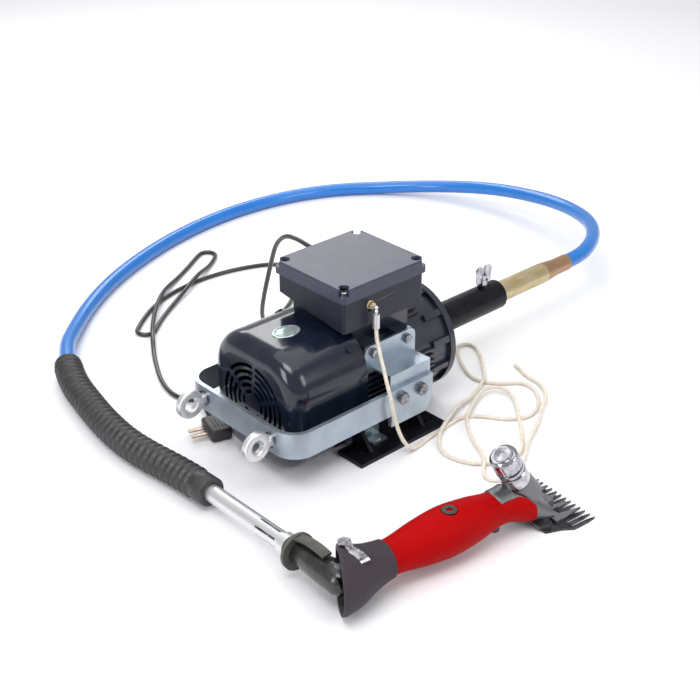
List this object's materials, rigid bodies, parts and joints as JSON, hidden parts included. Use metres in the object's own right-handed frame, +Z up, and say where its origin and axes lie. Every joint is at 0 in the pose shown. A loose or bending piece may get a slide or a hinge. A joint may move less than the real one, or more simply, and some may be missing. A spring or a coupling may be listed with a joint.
{
  "type": "sheep shearing machine",
  "caption": "Hanging motor with hook bracket, flexible drive hose, swivelling elbow and a red-gripped shearing hand piece with comb and cutter.",
  "frame": {"origin": "centre of the four foot bolt holes on the plane the feet stand on", "axes": "+X along the motor shaft to the hose socket, +Y to the side away from the pull chain, +Z up"},
  "size_m": [0.8807, 0.904, 0.2065],
  "materials": {
    "motor_navy": "gloss",
    "box_blue_grey": "satin",
    "bright_steel": "satin",
    "zinc": "satin",
    "chrome": "polished",
    "copper_winding": "satin",
    "laminations": "matt",
    "brass": "satin",
    "crimp_copper": "satin",
    "hose_blue": "gloss",
    "black_rubber": "matt",
    "black_plastic": "matt",
    "cap_white": "matt",
    "rope_white": "matt",
    "leather_dark": "matt",
    "grip_red": "satin",
    "cast_head": "satin",
    "aluminium": "satin",
    "dark_steel": "satin"
  },
  "bodies": {
    "motor": {"motor_frame": "motor_navy", "front_endshield": "motor_navy", "rear_endshield": "motor_navy", "fan_cover": "motor_navy", "cover_screws": "bright_steel", "stator": "copper_winding", "shaft_bearings": "bright_steel", "nose_sleeve": "dark_steel", "hose_ferrule": "brass", "crimp_sleeve": "crimp_copper", "terminal_box": "box_blue_grey", "box_gasket": "black_rubber", "box_lid": "box_blue_grey", "lid_screws": "chrome", "run_capacitor": "cap_white", "pull_switch": "black_plastic", "cable_gland": "black_plastic", "foot_left": "motor_navy", "foot_right": "motor_navy", "foot_bolts": "bright_steel", "foot_clips": "zinc", "hanger_bracket": "zinc", "side_plate_right": "zinc", "side_plate_left": "zinc", "bracket_bolts": "bright_steel", "plate_bolts": "bright_steel", "eye_bolts": "bright_steel", "eye_bolt_nuts": "bright_steel", "bend_guard": "black_rubber", "mains_plug": "black_plastic", "drive_hose": "hose_blue", "mains_cord": "black_rubber", "pull_rope": "rope_white", "handle_tube": "bright_steel"},
    "rotor": {"rotor_shaft": "bright_steel", "rotor_core": "laminations", "cooling_fan": "black_plastic", "drive_core_tip": "bright_steel"},
    "lock_screw": {"lock_screw": "zinc"},
    "pull_chain": {"pull_chain": "bright_steel"},
    "swivel": {"elbow_yoke": "dark_steel", "guard_ring": "leather_dark"},
    "input_gear": {"input_gear": "bright_steel"},
    "hand_piece": {"barrel": "aluminium", "grip": "grip_red", "grip_screws": "dark_steel", "guard_cup": "leather_dark", "cup_bolt": "bright_steel", "elbow_pins": "bright_steel", "head_casing": "cast_head", "tension_pin": "bright_steel", "fulcrum_post": "bright_steel", "comb": "dark_steel", "comb_screws": "dark_steel", "spindle_bushes": "brass"},
    "crank": {"crank_spindle": "bright_steel"},
    "fork": {"fork": "dark_steel", "chicken_feet": "dark_steel", "cutter": "dark_steel"},
    "tension_nut": {"tension_nut": "chrome"}
  },
  "joints": [
    {"name": "rotor_spin", "type": "hinge", "parent": "motor", "child": "rotor", "pos_m": [0, 0, 0.0765], "axis": [1, 0, 0], "continuous": true},
    {"name": "lock_screw_turn", "type": "hinge", "parent": "motor", "child": "lock_screw", "pos_m": [0.228, 0, 0.0765], "axis": [0, 0, 1], "continuous": true},
    {"name": "switch_pull", "type": "slide", "parent": "motor", "child": "pull_chain", "axis": [0, 0, -1], "range_m": [0, 0.005], "stiffness_N_per_m": 400},
    {"name": "handle_swivel", "type": "hinge", "parent": "motor", "child": "swivel", "pos_m": [-0.244, -0.249, 0.033], "axis": [-0.0334, -0.9979, 0.0549], "range_deg": [0, 180]},
    {"name": "elbow_bend", "type": "hinge", "parent": "swivel", "child": "hand_piece", "pos_m": [-0.244, -0.249, 0.033], "axis": [0.0018, 0.0549, 0.9985], "range_deg": [-84, 0]},
    {"name": "input_gear_spin", "type": "hinge", "parent": "swivel", "child": "input_gear", "pos_m": [-0.244, -0.249, 0.033], "axis": [0.0334, 0.9979, -0.0549], "continuous": true},
    {"name": "crank_spin", "type": "hinge", "parent": "hand_piece", "child": "crank", "pos_m": [-0.244, -0.249, 0.033], "axis": [0.9932, -0.1167, 0], "continuous": true},
    {"name": "fork_swing", "type": "hinge", "parent": "hand_piece", "child": "fork", "pos_m": [-0.02153, -0.27513, 0.033], "axis": [0, 0, 1], "range_deg": [-6, 6]},
    {"name": "tension_knob_turn", "type": "hinge", "parent": "hand_piece", "child": "tension_nut", "pos_m": [-0.02153, -0.27513, 0.057], "axis": [-0.4966, 0.0583, 0.866], "continuous": true}
  ],
  "couplings": [
    {"joint": "input_gear_spin", "follows": "rotor_spin", "ratio": -1},
    {"joint": "crank_spin", "follows": "rotor_spin", "ratio": 1}
  ]
}
